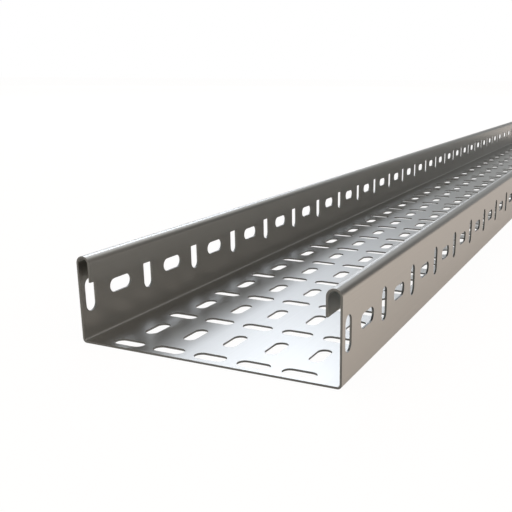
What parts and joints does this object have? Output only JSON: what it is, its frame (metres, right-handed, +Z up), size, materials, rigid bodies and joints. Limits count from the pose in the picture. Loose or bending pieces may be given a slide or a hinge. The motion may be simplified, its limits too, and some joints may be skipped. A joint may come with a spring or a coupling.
{
  "type": "perforated cable tray",
  "caption": "Straight length of sheet-steel channel with slots in its base and side walls and rolled top edges, for carrying cables.",
  "frame": {"origin": "centre of the underside", "axes": "+Y along the tray, from the end nearest in the picture to the other; +X across it; +Z up, from the base to the rolled edges"},
  "size_m": [0.2, 2, 0.064],
  "materials": {
    "galvanised_steel": "smooth zinc coat, satin"
  },
  "bodies": {
    "root": {"cable_tray": "galvanised_steel"}
  },
  "joints": []
}
